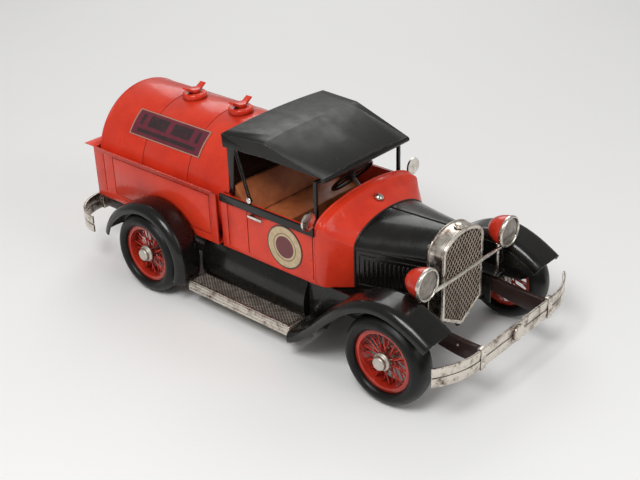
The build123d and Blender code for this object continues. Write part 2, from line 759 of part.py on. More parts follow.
with BuildPart() as headlight_lenses:
    lens_radius = lamp_radius - 2.0 - running_clearance
    with BuildSketch(lamp_section):
        with BuildLine():
            Polyline((1.2, 0), (-1.0, 0), (-1.0, lens_radius), (-0.2, lens_radius))
            ThreePointArc((-0.2, lens_radius), dome_middle(lens_radius, -0.2, 1.2)[::-1], (1.2, 0))
        make_face()
    revolve(axis=lamp_axis)
    mirror(about=Plane.XZ)
save(headlight_lenses.part, "headlight_lenses")

tie_drop = 8.5
tie_reach = lamp_y - sqrt(max((lamp_radius + piece_gap) ** 2 - tie_drop ** 2, 0)) - 0.9
with BuildPart() as headlight_mounts:
    # The cross bar between the lamps, and a short post under each lamp.
    tie_x = lamp_face_x - 1.0
    rod((tie_x, -tie_reach, lamp_z - tie_drop), (tie_x, tie_reach, lamp_z - tie_drop), tie_bar_radius)
    post_x = lamp_face_x - 7.6
    for y in (lamp_y - 0.9, -lamp_y + 0.9):
        rod((post_x, y, body_bottom_z - sheet), (post_x, y, lamp_z - bucket_radius - 0.4), 1.4)
save(headlight_mounts.part, "headlight_mounts")

# ---------------------------------------------------------------- steering
tilt = radians(steering_tilt)
column_direction = Vector(-cos(tilt), 0, sin(tilt))
wheel_centre = Vector(steering_wheel_x, steering_y, steering_wheel_z)
column_length = (steering_wheel_z - body_bottom_z - 2 * sheet) / sin(tilt)

with BuildPart() as steering_column:
    start = wheel_centre - column_direction * column_length
    rod(tuple(start), tuple(wheel_centre + column_direction * 1.0), column_radius)
save(steering_column.part, "steering_column")

with BuildPart() as steering_wheel:
    wheel_plane = Plane(origin=wheel_centre, x_dir=(0, 1, 0), z_dir=column_direction)
    rim_path_radius = steering_wheel_radius - steering_wheel_wire
    hub_r = column_radius + 1.6
    with BuildSketch(Plane(origin=wheel_centre, x_dir=(0, 1, 0), z_dir=wheel_plane.y_dir * -1)):
        with Locations((rim_path_radius, 0)):
            Circle(steering_wheel_wire)
    revolve(axis=Axis(wheel_centre, column_direction))
    with BuildSketch(wheel_plane.offset(-1.6)):
        Circle(hub_r)
    extrude(amount=4.6)
    for k in range(4):
        angle = pi / 4 + k * pi / 2
        start = wheel_plane.from_local_coords((hub_r * 0.8 * cos(angle), hub_r * 0.8 * sin(angle), 0))
        end = wheel_plane.from_local_coords((rim_path_radius * cos(angle), rim_path_radius * sin(angle), 0))
        rod(start, end, 0.7)
    with BuildSketch(wheel_plane.offset(-1.6)):
        Circle(column_radius + running_clearance)
    extrude(amount=2.8, mode=Mode.SUBTRACT)
save(steering_wheel.part, "steering_wheel")

# ---------------------------------------------------------------- bed and tank
bed_mid_x = (bed_front_x + bed_rear_x) / 2
rail_start_z = bed_rail_z - 3.2

with BuildPart() as truck_bed:
    # Floor, two sides and tailgate with a flared top rail. The front is open.
    with BuildSketch(Plane.XY.offset(body_bottom_z)):
        with Locations((bed_mid_x, 0)):
            Rectangle(bed_length, bed_width)
    extrude(amount=rail_start_z - body_bottom_z)
    flare_angle = degrees(atan2(bed_rail_flare, bed_rail_z - rail_start_z))
    with BuildSketch(Plane.XY.offset(rail_start_z)):
        with Locations((bed_mid_x, 0)):
            Rectangle(bed_length, bed_width)
    extrude(amount=bed_rail_z - rail_start_z, taper=-flare_angle)
    with BuildSketch(Plane.XY.offset(body_bottom_z + sheet)):
        with Locations((bed_mid_x + sheet, 0)):
            Rectangle(bed_length, bed_width - 2 * sheet)
    extrude(amount=rail_start_z - body_bottom_z - sheet, mode=Mode.SUBTRACT)
    with BuildSketch(Plane.XY.offset(rail_start_z)):
        with Locations((bed_mid_x + sheet, 0)):
            Rectangle(bed_length, bed_width - 2 * sheet)
    extrude(amount=bed_rail_z - rail_start_z, taper=-flare_angle, mode=Mode.SUBTRACT)
    with Locations((bed_front_x + bed_rail_flare * 2, 0, bed_rail_z)):
        Box(bed_rail_flare * 4, 2 * bed_width, 4 * sheet + 8.0, mode=Mode.SUBTRACT)
    panel_low_z = body_bottom_z + 6.0
    panel_high_z = rail_start_z - 3.0
    for y in (half_bed - seam_depth / 2, -half_bed + seam_depth / 2):
        for x in (bed_rear_x + 11.0, bed_rear_x + 22.0, bed_front_x - 7.0):
            with Locations((x, y, (panel_low_z + panel_high_z) / 2)):
                Box(seam_width, seam_depth, panel_high_z - panel_low_z, mode=Mode.SUBTRACT)
        for z in (panel_low_z, panel_high_z):
            with Locations(((bed_rear_x + 22.0 + bed_front_x - 7.0) / 2, y, z)):
                Box(bed_length - 29.0, seam_depth, seam_width, mode=Mode.SUBTRACT)
save(truck_bed.part, "truck_bed")

tank_radius = half_bed - sheet - tank_side_gap
tank_z = axle_z + 47.5
tank_rear_x = bed_rear_x + sheet + tank_end_gap
tank_front_x = cab_back_x - tank_end_gap
tank_length = tank_front_x - tank_rear_x
tank_low_z = body_bottom_z + sheet
band_groove = 0.4


def tank_outline(radius, low_z):
    """The end view of the tank: a circle cut flat where it rests on the bed floor."""
    with Locations((0, tank_z)):
        Circle(radius)
    with Locations((0, low_z - radius)):
        Rectangle(4 * radius, 2 * radius, mode=Mode.SUBTRACT)


with BuildPart() as tank_shell:
    # A rolled tin cover, open below where the bed floor closes it.
    with BuildSketch(Plane.YZ.offset(tank_rear_x)):
        tank_outline(tank_radius, tank_low_z)
    extrude(amount=tank_length)
    fillet(tank_shell.faces().sort_by(Axis.X)[0].edges().filter_by(GeomType.CIRCLE), 3.0)
    with BuildSketch(Plane.YZ.offset(tank_rear_x + sheet)):
        tank_outline(tank_radius - sheet, tank_low_z - 1.0)
    extrude(amount=tank_length - 2 * sheet, mode=Mode.SUBTRACT)
    for x in (filler_front_x - filler_spacing - 10.0, filler_front_x - 10.0):
        with BuildSketch(Plane.YZ.offset(x)):
            tank_outline(tank_radius, tank_low_z)
            with Locations((0, tank_z)):
                Circle(tank_radius - band_groove, mode=Mode.SUBTRACT)
        extrude(amount=0.8, mode=Mode.SUBTRACT)
save(tank_shell.part, "tank_shell")

label_length = 75.0
label_rear_x = tank_rear_x + 31.0
label_angles = (33.8, 58.3)
with BuildPart() as tank_labels:
    with BuildSketch(Plane.YZ.offset(label_rear_x)):
        with BuildLine():
            edges = []
            for radius in (tank_radius, tank_radius + print_thickness):
                points = [(radius * sin(radians(a)), tank_z + radius * cos(radians(a)))
                          for a in (label_angles[0], sum(label_angles) / 2, label_angles[1])]
                edges.append(ThreePointArc(*points))
            Line(edges[0] @ 0, edges[1] @ 0)
            Line(edges[0] @ 1, edges[1] @ 1)
        make_face()
    extrude(amount=label_length)
    mirror(about=Plane.XZ)
save(tank_labels.part, "tank_labels")

neck_top_z = tank_z + tank_radius + filler_neck_height
nut_hole_depth = 3.2
with BuildPart() as filler_necks:
    for x in (filler_front_x, filler_front_x - filler_spacing):
        with BuildSketch(Plane.XY.offset(neck_top_z)):
            with Locations((x, 0)):
                Circle(filler_neck_radius)
        extrude(amount=-filler_neck_height - 2.0)
    fillet(filler_necks.edges().group_by(Axis.Z)[-1], 1.6)
    with BuildSketch(Plane.YZ.offset(tank_rear_x)):
        with Locations((0, tank_z)):
            Circle(tank_radius)
    extrude(amount=tank_length, mode=Mode.SUBTRACT)
    for x in (filler_front_x, filler_front_x - filler_spacing):
        with BuildSketch(Plane.XY.offset(neck_top_z)):
            with Locations((x, 0)):
                Circle(nut_stem_radius + running_clearance)
        extrude(amount=-nut_hole_depth, mode=Mode.SUBTRACT)
save(filler_necks.part, "filler_necks")

nut_gap = 0.2
ear_height = 5.2
ear_reach = 9.8
ear_width = 4.6
for label, x in (("front", filler_front_x), ("rear", filler_front_x - filler_spacing)):
    with BuildPart() as filler_nut:
        nut_z = neck_top_z + nut_gap
        with BuildSketch(Plane.XY.offset(nut_z - nut_hole_depth)):
            with Locations((x, 0)):
                Circle(nut_stem_radius)
        extrude(amount=nut_hole_depth)
        with BuildSketch(Plane.XY.offset(nut_z)):
            with Locations((x, 0)):
                Circle(4.2)
        extrude(amount=2.4)
        with BuildSketch(Plane.YZ.offset(x - ear_width / 2)):
            with BuildLine():
                Polyline((1.6, nut_z + 0.6), (4.6, nut_z + 0.6), (ear_reach, nut_z + ear_height - 0.8),
                         (ear_reach - 1.3, nut_z + ear_height), (3.6, nut_z + 2.4), (1.6, nut_z + 2.4),
                         close=True)
            make_face()
            mirror(about=Plane.YZ)
        extrude(amount=ear_width)
    save(filler_nut.part, f"filler_nut_{label}")

# ---------------------------------------------------------------- bumpers
clamp_proud = 0.6
clamp_back = 1.2
badge_height = 1.6
front_bar_x = overall_length / 2 - badge_height - bar_thickness / 2
rear_bar_x = -overall_length / 2 + bar_thickness / 2 + clamp_proud
bar_levels = (bumper_bottom_z, bumper_bottom_z + bar_height + bar_gap)
rear_clamp_y = 40.0


def bumper_bars(bar_x, straight, end_x):
    """Two flat bars, one above the other, straight in the middle with swept ends."""
    with BuildPart() as bars:
        for z in bar_levels:
            with BuildSketch(Plane.XY.offset(z)):
                with BuildLine():
                    middle = Line((bar_x, -straight), (bar_x, straight))
                    TangentArc(middle @ 1, (end_x, bumper_half_width), tangent=(0, 1))
                    TangentArc(middle @ 0, (end_x, -bumper_half_width), tangent=(0, -1))
                trace(line_width=bar_thickness)
            extrude(amount=bar_height)
    return bars.part


save(bumper_bars(front_bar_x, clamp_y + 4.0, front_bar_x - 11.0), "front_bumper")
save(bumper_bars(rear_bar_x, rear_clamp_y + 4.0, rear_bar_x + 30.0), "rear_bumper")

with BuildPart() as bumper_clamps:
    # A clamp holds both bars on each arm, and a plain round badge sits between the front pair.
    clamp_height = 2 * bar_height + bar_gap + 1.6
    for bar_x, y in ((front_bar_x, clamp_y), (rear_bar_x, rear_clamp_y)):
        for side in (1, -1):
            inward = -1 if bar_x > 0 else 1
            with Locations((bar_x + inward * (clamp_back - clamp_proud) / 2, side * y, bumper_z)):
                Box(bar_thickness + clamp_back + clamp_proud, 5.0, clamp_height)
            for z in bar_levels:
                with Locations((bar_x, side * y, z + bar_height / 2)):
                    Box(bar_thickness, 6.0, bar_height, mode=Mode.SUBTRACT)
    badge_x = front_bar_x + bar_thickness / 2
    with BuildSketch(Plane.YZ.offset(badge_x)):
        with Locations((0, bumper_z)):
            Circle(badge_radius)
    extrude(amount=overall_length / 2 - badge_x)
save(bumper_clamps.part, "bumper_clamps")

with BuildPart() as bumper_arms:
    # Front arms drop from the frame to the bumper. Rear arms run back under the bed corners.
    front_end_x = front_bar_x - bar_thickness / 2 - clamp_back
    with BuildSketch(Plane.XZ.offset(-half_frame - arm_thickness)):
        with BuildLine():
            top = Spline((frame_front_x - 20.0, body_bottom_z - 3.0),
                         (frame_front_x + 8.0, body_bottom_z - 3.5),
                         (frame_front_x + 30.0, body_bottom_z - 5.0), (front_end_x, bumper_z + 6.0))
            low = Spline((frame_front_x - 20.0, body_bottom_z - 12.0),
                         (frame_front_x + 8.0, body_bottom_z - 12.5),
                         (frame_front_x + 28.0, body_bottom_z - 16.0), (front_end_x, bumper_z - 5.0))
            Line(top @ 0, low @ 0)
            Line(top @ 1, low @ 1)
        make_face()
    extrude(amount=arm_thickness)
    rear_end_x = rear_bar_x + bar_thickness / 2 + clamp_back
    rear_arm_y = rear_clamp_y + 2.0
    with BuildSketch(Plane.XZ.offset(-rear_arm_y)):
        with BuildLine():
            arm_low_z = bumper_z - 4.0
            arm_high_z = bumper_z + 6.0
            arm_top_z = body_bottom_z - piece_gap
            Polyline((frame_rear_x + 16.0, arm_low_z), (rear_end_x, arm_low_z), (rear_end_x, arm_high_z),
                     (bed_rear_x - 4.0, arm_top_z), (bed_rear_x + 6.0, arm_top_z),
                     (bed_rear_x + 8.0, arm_high_z), (frame_rear_x + 16.0, arm_high_z), close=True)
        make_face()
    extrude(amount=arm_thickness)
    with Locations((frame_rear_x + 8.0, (half_frame + rear_arm_y - arm_thickness) / 2, bumper_z + 1.0)):
        Box(16.0, rear_arm_y - arm_thickness - half_frame, 10.0)
    mirror(about=Plane.XZ)
save(bumper_arms.part, "bumper_arms")
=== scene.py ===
import bpy
import json
from math import atan2, cos, hypot, pi, radians, sin
from mathutils import Matrix, Vector

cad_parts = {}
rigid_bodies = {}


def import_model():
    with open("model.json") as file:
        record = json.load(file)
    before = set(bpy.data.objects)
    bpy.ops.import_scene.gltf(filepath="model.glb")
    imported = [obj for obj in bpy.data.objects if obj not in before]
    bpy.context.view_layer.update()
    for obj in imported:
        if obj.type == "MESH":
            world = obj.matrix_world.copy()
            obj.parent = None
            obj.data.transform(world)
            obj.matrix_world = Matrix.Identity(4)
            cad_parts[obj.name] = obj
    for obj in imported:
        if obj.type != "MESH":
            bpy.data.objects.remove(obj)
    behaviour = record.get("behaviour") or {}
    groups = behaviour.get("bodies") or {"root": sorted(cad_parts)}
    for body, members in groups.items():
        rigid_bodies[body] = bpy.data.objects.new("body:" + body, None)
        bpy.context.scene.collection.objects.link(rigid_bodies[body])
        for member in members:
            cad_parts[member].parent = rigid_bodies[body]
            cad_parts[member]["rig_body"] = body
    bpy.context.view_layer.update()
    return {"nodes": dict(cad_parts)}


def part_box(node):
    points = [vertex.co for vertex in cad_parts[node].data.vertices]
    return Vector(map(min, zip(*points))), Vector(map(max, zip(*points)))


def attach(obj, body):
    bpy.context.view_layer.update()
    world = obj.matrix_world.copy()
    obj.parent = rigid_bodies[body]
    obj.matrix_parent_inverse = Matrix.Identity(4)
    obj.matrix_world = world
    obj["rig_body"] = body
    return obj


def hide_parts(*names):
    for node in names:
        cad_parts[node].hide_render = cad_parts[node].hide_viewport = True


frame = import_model()
mm = 0.001
nodes = frame["nodes"]


# ---------------------------------------------------------------- measures taken from the frame
def low(node):
    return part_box(node)[0]


def high(node):
    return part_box(node)[1]


def middle(node):
    return (low(node) + high(node)) / 2


def reach(node):
    return high(node) - low(node)


front_axle_x = middle("front_left_tyre").x
rear_axle_x = middle("rear_left_tyre").x
axle_z = middle("front_left_tyre").z


# ---------------------------------------------------------------- the maker's hands
def clear_selection():
    """Leave nothing selected."""
    bpy.ops.object.select_all(action="DESELECT")


def hold(piece):
    """Make one piece the only one selected."""
    clear_selection()
    piece.select_set(True)
    bpy.context.view_layer.objects.active = piece


def settle(piece):
    """Put a piece's place, turn and size into its mesh."""
    hold(piece)
    bpy.ops.object.transform_apply(location=True, rotation=True, scale=True)


def new_name(name):
    """Name the primitive that was just added."""
    piece = bpy.context.object
    piece.name = name
    piece.data.name = name
    return piece


def block(name, centre, size, turn=0.0):
    """A cube of the given size at its place, ready to be shaped."""
    bpy.ops.mesh.primitive_cube_add(size=1.0, location=centre, rotation=(0, 0, turn))
    piece = new_name(name)
    piece.scale = size
    settle(piece)
    return piece


def soften(piece, width, segments=2, angle=30.0, smooth=35.0):
    """Round a piece's edges and shade its curves smoothly."""
    hold(piece)
    edge = piece.modifiers.new("edge", "BEVEL")
    edge.width = width
    edge.segments = segments
    edge.limit_method = "ANGLE"
    edge.angle_limit = radians(angle)
    edge.use_clamp_overlap = True
    bpy.ops.object.modifier_apply(modifier="edge")
    bpy.ops.object.shade_smooth_by_angle(angle=radians(smooth))
    return piece


def join(name, pieces):
    """Make one piece of several."""
    clear_selection()
    for piece in pieces:
        piece.select_set(True)
    bpy.context.view_layer.objects.active = pieces[0]
    bpy.ops.object.join()
    pieces[0].name = name
    pieces[0].data.name = name
    return pieces[0]


def face_outwards(piece):
    """Merge doubled points and turn all faces to the outside."""
    hold(piece)
    bpy.ops.object.mode_set(mode="EDIT")
    bpy.ops.mesh.select_all(action="SELECT")
    bpy.ops.mesh.remove_doubles(threshold=0.01 * mm)
    bpy.ops.mesh.normals_make_consistent(inside=False)
    bpy.ops.object.mode_set(mode="OBJECT")


def mirror_copy(piece):
    """A copy with its own mesh, mirrored across the truck."""
    twin = bpy.data.objects.new(piece.name + "_copy", piece.data.copy())
    bpy.context.scene.collection.objects.link(twin)
    twin.scale = (1, -1, 1)
    settle(twin)
    face_outwards(twin)
    return twin


def both_sides(name, piece):
    """The piece and its mirror image, as one."""
    return join(name, [piece, mirror_copy(piece)])


def domed_head(name, place, radius, squash, segments=20, rings=12):
    """One domed head, flattened along the axis it faces."""
    bpy.ops.mesh.primitive_uv_sphere_add(segments=segments, ring_count=rings, radius=radius, location=place)
    head = new_name(name)
    head.scale = squash
    settle(head)
    bpy.ops.object.shade_smooth_by_angle(angle=radians(60))
    return head


def fine_block(name, node, cuts=31):
    """A block that fills a CAD solid's box, cut finely enough to be shaped point by point."""
    pad = block(name, middle(node), reach(node))
    bpy.ops.object.mode_set(mode="EDIT")
    bpy.ops.mesh.select_all(action="SELECT")
    bpy.ops.mesh.subdivide(number_cuts=cuts)
    bpy.ops.object.mode_set(mode="OBJECT")
    return pad


def dress(piece, material, body):
    """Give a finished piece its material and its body."""
    piece.data.materials.clear()
    piece.data.materials.append(material)
    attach(piece, body)
    return piece


def pressed(node, material, width, segments=2, angle=30.0, smooth=35.0):
    """Stand a softened copy in for a CAD node: points merged, flats joined, edges rounded."""
    source = nodes[node]
    piece = bpy.data.objects.new(node + "_finished", source.data.copy())
    bpy.context.scene.collection.objects.link(piece)
    hold(piece)
    bpy.ops.object.mode_set(mode="EDIT")
    bpy.ops.mesh.select_all(action="SELECT")
    bpy.ops.mesh.remove_doubles(threshold=0.005 * mm)
    bpy.ops.mesh.dissolve_limited(angle_limit=radians(0.5))
    bpy.ops.object.mode_set(mode="OBJECT")
    soften(piece, width, segments, angle, smooth)
    dress(piece, material, source["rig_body"])
    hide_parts(node)
    return piece


def keep_mesh(node, material):
    """Give a CAD node its finish and leave its shape alone."""
    nodes[node].data.materials.clear()
    nodes[node].data.materials.append(material)


def tube(name, points, radius):
    """A round wire through the points."""
    bpy.ops.curve.primitive_nurbs_path_add()
    wire = new_name(name)
    wire.data.splines.clear()
    spline = wire.data.splines.new("NURBS")
    spline.points.add(len(points) - 1)
    for knot, point in zip(spline.points, points):
        knot.co = (*point, 1.0)
    spline.order_u = 3
    spline.use_endpoint_u = True
    wire.location = (0, 0, 0)
    wire.data.bevel_depth = radius
    wire.data.bevel_resolution = 3
    wire.data.resolution_u = 4
    wire.data.use_fill_caps = True
    hold(wire)
    bpy.ops.object.convert(target="MESH")
    wire = bpy.context.object
    settle(wire)
    face_outwards(wire)
    bpy.ops.object.shade_smooth_by_angle(angle=radians(50))
    return wire


# ---------------------------------------------------------------- finishes
class Finish:
    """A node material in the making, with a Principled shader at its end."""

    def __init__(self, name, roughness=0.4, metallic=0.0, coat=0.0, coat_roughness=0.1):
        self.material = bpy.data.materials.new(name)
        self.material.use_nodes = True
        self.tree = self.material.node_tree
        self.shader = self.tree.nodes["Principled BSDF"]
        self.shader.inputs["Roughness"].default_value = roughness
        self.shader.inputs["Metallic"].default_value = metallic
        self.shader.inputs["Coat Weight"].default_value = coat
        self.shader.inputs["Coat Roughness"].default_value = coat_roughness
        self.place = self.tree.nodes.new("ShaderNodeTexCoord").outputs["Object"]

    def join(self, source, socket):
        """Link a socket, or set its value."""
        if isinstance(source, bpy.types.NodeSocket):
            self.tree.links.new(source, socket)
        else:
            socket.default_value = source

    def noise(self, scale, detail=4.0, roughness=0.6, stretch=(1, 1, 1)):
        """Fractal noise of a size, from 0 to 1."""
        mapping = self.tree.nodes.new("ShaderNodeMapping")
        mapping.inputs["Scale"].default_value = stretch
        self.join(self.place, mapping.inputs["Vector"])
        node = self.tree.nodes.new("ShaderNodeTexNoise")
        node.inputs["Scale"].default_value = scale
        node.inputs["Detail"].default_value = detail
        node.inputs["Roughness"].default_value = roughness
        self.join(mapping.outputs[0], node.inputs["Vector"])
        return node.outputs["Fac"]

    def ramp(self, value, start, end, first=0.0, last=1.0):
        """Stretch a range of values to another."""
        node = self.tree.nodes.new("ShaderNodeMapRange")
        self.join(value, node.inputs["Value"])
        for socket, number in (("From Min", start), ("From Max", end), ("To Min", first), ("To Max", last)):
            node.inputs[socket].default_value = number
        return node.outputs["Result"]

    def math(self, operation, first, second=0.0):
        """One sum."""
        node = self.tree.nodes.new("ShaderNodeMath")
        node.operation = operation
        self.join(first, node.inputs[0])
        self.join(second, node.inputs[1])
        return node.outputs[0]

    def mix(self, share, first, second):
        """Mix two colours by a share."""
        node = self.tree.nodes.new("ShaderNodeMix")
        node.data_type = "RGBA"
        self.join(share, node.inputs[0])
        for socket, colour in ((node.inputs[6], first), (node.inputs[7], second)):
            self.join((*colour, 1.0) if isinstance(colour, tuple) else colour, socket)
        return node.outputs[2]

    def crevice(self, depth, start=0.35, end=0.9):
        """1 in corners and seams, 0 on open surfaces."""
        node = self.tree.nodes.new("ShaderNodeAmbientOcclusion")
        node.samples = 8
        node.inputs["Distance"].default_value = depth
        return self.ramp(node.outputs["AO"], start, end, 1.0, 0.0)

    def edge(self, radius=0.4 * mm, start=0.03, end=0.22):
        """1 on edges, 0 on flats: marks rubbed paint and painted highlights along edges."""
        rounded = self.tree.nodes.new("ShaderNodeBevel")
        rounded.samples = 4
        rounded.inputs["Radius"].default_value = radius
        plain = self.tree.nodes.new("ShaderNodeNewGeometry")
        node = self.tree.nodes.new("ShaderNodeVectorMath")
        node.operation = "DOT_PRODUCT"
        self.join(rounded.outputs[0], node.inputs[0])
        self.join(plain.outputs["Normal"], node.inputs[1])
        return self.ramp(self.math("SUBTRACT", 1.0, node.outputs["Value"]), start, end)

    def axis(self, letter):
        """One coordinate, in metres."""
        node = self.tree.nodes.new("ShaderNodeSeparateXYZ")
        self.join(self.place, node.inputs[0])
        return node.outputs[letter]

    def bump(self, height, strength=0.3, distance=0.2 * mm):
        """Raise the surface by a height pattern."""
        node = self.tree.nodes.new("ShaderNodeBump")
        node.inputs["Strength"].default_value = strength
        node.inputs["Distance"].default_value = distance
        self.join(height, node.inputs["Height"])
        self.join(node.outputs[0], self.shader.inputs["Normal"])

    def colour(self, source):
        self.join(source, self.shader.inputs["Base Color"])

    def rough(self, source):
        self.join(source, self.shader.inputs["Roughness"])


def enamel(name, colour, deep, seam_dirt_and_shade, worn_and_lit_edge_colour, roughness, coat, hollow_reach=2.5 * mm, edge_wear_and_highlight_strength=0.7):
    """Sprayed enamel on tin: uneven colour, seams darkened by dirt and painted shade, rubbed edges that also
    carry painted highlights, faint orange peel.
    """
    paint = Finish(name, roughness, coat=coat, coat_roughness=0.12)
    paint.shader.inputs["Specular IOR Level"].default_value = 0.28
    cloud = paint.ramp(paint.noise(38.0, 3.0), 0.35, 0.7)
    ground = paint.mix(cloud, colour, deep)
    uneven = paint.ramp(paint.noise(240.0), 0.25, 0.6, 0.55, 1.0)
    # Seams and corners found by ambient occlusion take the seam colour: partly a dirt wash, partly painted
    # shade.
    seam_dirt_and_shade_mask = paint.math("MULTIPLY", paint.crevice(hollow_reach), uneven)
    with_seam_dirt_and_shade = paint.mix(seam_dirt_and_shade_mask, ground, seam_dirt_and_shade)
    patches = paint.ramp(paint.noise(420.0, 6.0), 0.42, 0.58)
    # Edges take the rubbed colour: partly worn paint, partly a painted highlight along every edge.
    worn_and_lit_edges = paint.math("MULTIPLY", paint.math("MULTIPLY", paint.edge(), patches), edge_wear_and_highlight_strength)
    specks = paint.ramp(paint.noise(900.0, 2.0), 0.70, 0.78, 0.0, 0.7)
    speckled_areas = paint.ramp(paint.noise(60.0), 0.52, 0.62)
    chips_and_edge_highlights = paint.math("MAXIMUM", worn_and_lit_edges, paint.math("MULTIPLY", specks, speckled_areas))
    paint.colour(paint.mix(chips_and_edge_highlights, with_seam_dirt_and_shade, worn_and_lit_edge_colour))
    paint.rough(paint.ramp(paint.noise(110.0, 5.0), 0.3, 0.7, roughness - 0.05, roughness + 0.14))
    paint.bump(paint.noise(520.0, 3.0), 0.18, 0.12 * mm)
    return paint.material


def plated(name, colour, patina, roughness, hollow_reach=2.0 * mm, amount=0.5):
    """Aged bright plating: brown patina in patches and corners, fine scratches."""
    metal = Finish(name, roughness, metallic=1.0)
    patches = metal.ramp(metal.noise(105.0, 7.0, 0.72), 0.49, 0.66, 0.0, amount)
    corners = metal.crevice(hollow_reach, 0.3, 0.85)
    clouds = metal.ramp(metal.noise(30.0), 0.3, 0.7, 0.0, 0.35)
    tone = metal.mix(clouds, colour, tuple(c * 0.72 for c in colour))
    metal.colour(metal.mix(metal.math("MAXIMUM", patches, corners), tone, patina))
    metal.rough(metal.ramp(metal.noise(260.0, 6.0), 0.3, 0.7, roughness - 0.08, roughness + 0.18))
    metal.bump(metal.noise(700.0, 5.0, stretch=(0.2, 1, 1)), 0.22, 0.1 * mm)
    return metal.material


def tyre_rubber(name, axle_x):
    """Smooth moulded rubber with faint rings on the wall and dust in streaks."""
    rubber = Finish(name, 0.42)
    rubber.shader.inputs["Specular IOR Level"].default_value = 0.3
    across = rubber.math("SUBTRACT", rubber.axis("X"), axle_x)
    along = rubber.math("SUBTRACT", rubber.axis("Z"), axle_z)
    radius = rubber.math("SQRT", rubber.math("ADD", rubber.math("MULTIPLY", across, across),
                                             rubber.math("MULTIPLY", along, along)))
    ring_pitch = 1.9 * mm
    rings = rubber.math("SINE", rubber.math("MULTIPLY", radius, 2 * pi / ring_pitch))
    ring_band = rubber.math("MULTIPLY", rings, rubber.ramp(radius, 23.5 * mm, 24.5 * mm))
    shoulder = rubber.math("MULTIPLY", ring_band, rubber.ramp(radius, 28.0 * mm, 28.6 * mm, 1.0, 0.0))
    dust = rubber.ramp(rubber.noise(85.0, 6.0), 0.5, 0.75, 0.0, 0.55)
    grimy = rubber.mix(dust, (0.0040, 0.0040, 0.0038), (0.013, 0.012, 0.010))
    rubber.colour(rubber.mix(rubber.crevice(2.0 * mm), grimy, (0.02, 0.008, 0.006)))
    rubber.rough(rubber.ramp(rubber.noise(200.0, 5.0), 0.3, 0.7, 0.3, 0.5))
    relief = rubber.math("ADD", rubber.math("MULTIPLY", shoulder, 0.5), rubber.noise(900.0))
    rubber.bump(relief, 0.3, 0.15 * mm)
    return rubber.material


def tread_plate(name):
    """Dark plate embossed with small diamonds."""
    plate = Finish(name, 0.38, metallic=0.6)
    pitch = 4.5 * mm
    ridges = []
    for sign in (1.0, -1.0):
        slant = plate.math("ADD", plate.math("MULTIPLY", plate.axis("X"), 0.75),
                           plate.math("MULTIPLY", plate.axis("Y"), sign))
        wave = plate.math("SINE", plate.math("MULTIPLY", slant, 2 * pi / pitch))
        ridges.append(plate.math("ABSOLUTE", wave))
    mesh = plate.ramp(plate.math("MINIMUM", *ridges), 0.22, 0.5, 1.0, 0.0)
    worn = plate.math("MULTIPLY", mesh, plate.ramp(plate.noise(150.0, 5.0), 0.3, 0.6, 0.35, 1.0))
    plate.colour(plate.mix(worn, (0.012, 0.008, 0.006), (0.60, 0.52, 0.44)))
    plate.bump(mesh, 0.8, 0.5 * mm)
    return plate.material


def leather(name, colour, deep):
    """Grained seat leather, with painted shade darkening its folds."""
    hide = Finish(name, 0.45)
    grain = hide.tree.nodes.new("ShaderNodeTexVoronoi")
    grain.inputs["Scale"].default_value = 900.0
    hide.join(hide.place, grain.inputs["Vector"])
    worn = hide.mix(hide.ramp(hide.noise(70.0, 5.0), 0.35, 0.7), colour, deep)
    # Painted shade: the folds and channels are darkened where occlusion finds them.
    hide.colour(hide.mix(hide.crevice(5.0 * mm, 0.2, 0.9), worn, tuple(c * 0.25 for c in deep)))
    hide.rough(hide.ramp(hide.noise(160.0, 4.0), 0.3, 0.7, 0.38, 0.6))
    hide.bump(grain.outputs["Distance"], 0.35, 0.25 * mm)
    return hide.material


def lamp_glass(name):
    """A pale silver lens pressed with fine fluting."""
    lens = Finish(name, 0.3, metallic=0.55, coat=0.6, coat_roughness=0.08)
    pitch = 1.5 * mm
    flutes = lens.math("SINE", lens.math("MULTIPLY", lens.axis("Y"), 2 * pi / pitch))
    crossing = lens.math("SINE", lens.math("MULTIPLY", lens.axis("Z"), 2 * pi / pitch))
    cells = lens.math("MULTIPLY", flutes, crossing)
    stain = lens.ramp(lens.noise(420.0, 5.0), 0.4, 0.7, 0.0, 0.75)
    pale = lens.mix(lens.ramp(cells, -1.0, 1.0, 0.0, 0.4), (0.34, 0.31, 0.27), (0.17, 0.145, 0.12))
    lens.colour(lens.mix(stain, pale, (0.12, 0.085, 0.06)))
    lens.bump(lens.math("ADD", cells, lens.noise(800.0)), 0.35, 0.25 * mm)
    return lens.material


def roundel(name, centre, radius):
    """A plain round badge: cream field, dark border, maroon centre and a thin maroon ring."""
    badge = Finish(name, 0.35, coat=0.3)
    across = badge.math("SUBTRACT", badge.axis("X"), centre.x)
    along = badge.math("SUBTRACT", badge.axis("Z"), centre.z)
    squares = badge.math("ADD", badge.math("MULTIPLY", across, across), badge.math("MULTIPLY", along, along))
    ratio = badge.math("DIVIDE", badge.math("SQRT", squares), radius)
    cream = badge.mix(badge.ramp(badge.noise(260.0, 6.0), 0.35, 0.7), (0.60, 0.48, 0.29), (0.44, 0.32, 0.17))
    maroon = (0.13, 0.016, 0.02)
    core = badge.mix(badge.ramp(ratio, 0.50, 0.52), maroon, cream)
    ring_outer = badge.ramp(ratio, 0.635, 0.65, 1.0, 0.0)
    ring = badge.math("MULTIPLY", badge.ramp(ratio, 0.60, 0.615), ring_outer)
    ringed = badge.mix(ring, core, maroon)
    bordered = badge.mix(badge.ramp(ratio, 0.93, 0.95), ringed, (0.05, 0.02, 0.015))
    # Painted shade darkens the badge in the seam where it meets the door.
    badge.colour(badge.mix(badge.crevice(1.2 * mm), bordered, (0.05, 0.015, 0.01)))
    badge.rough(badge.ramp(badge.noise(180.0), 0.3, 0.7, 0.3, 0.5))
    badge.bump(badge.noise(500.0, 4.0), 0.15, 0.1 * mm)
    return badge.material


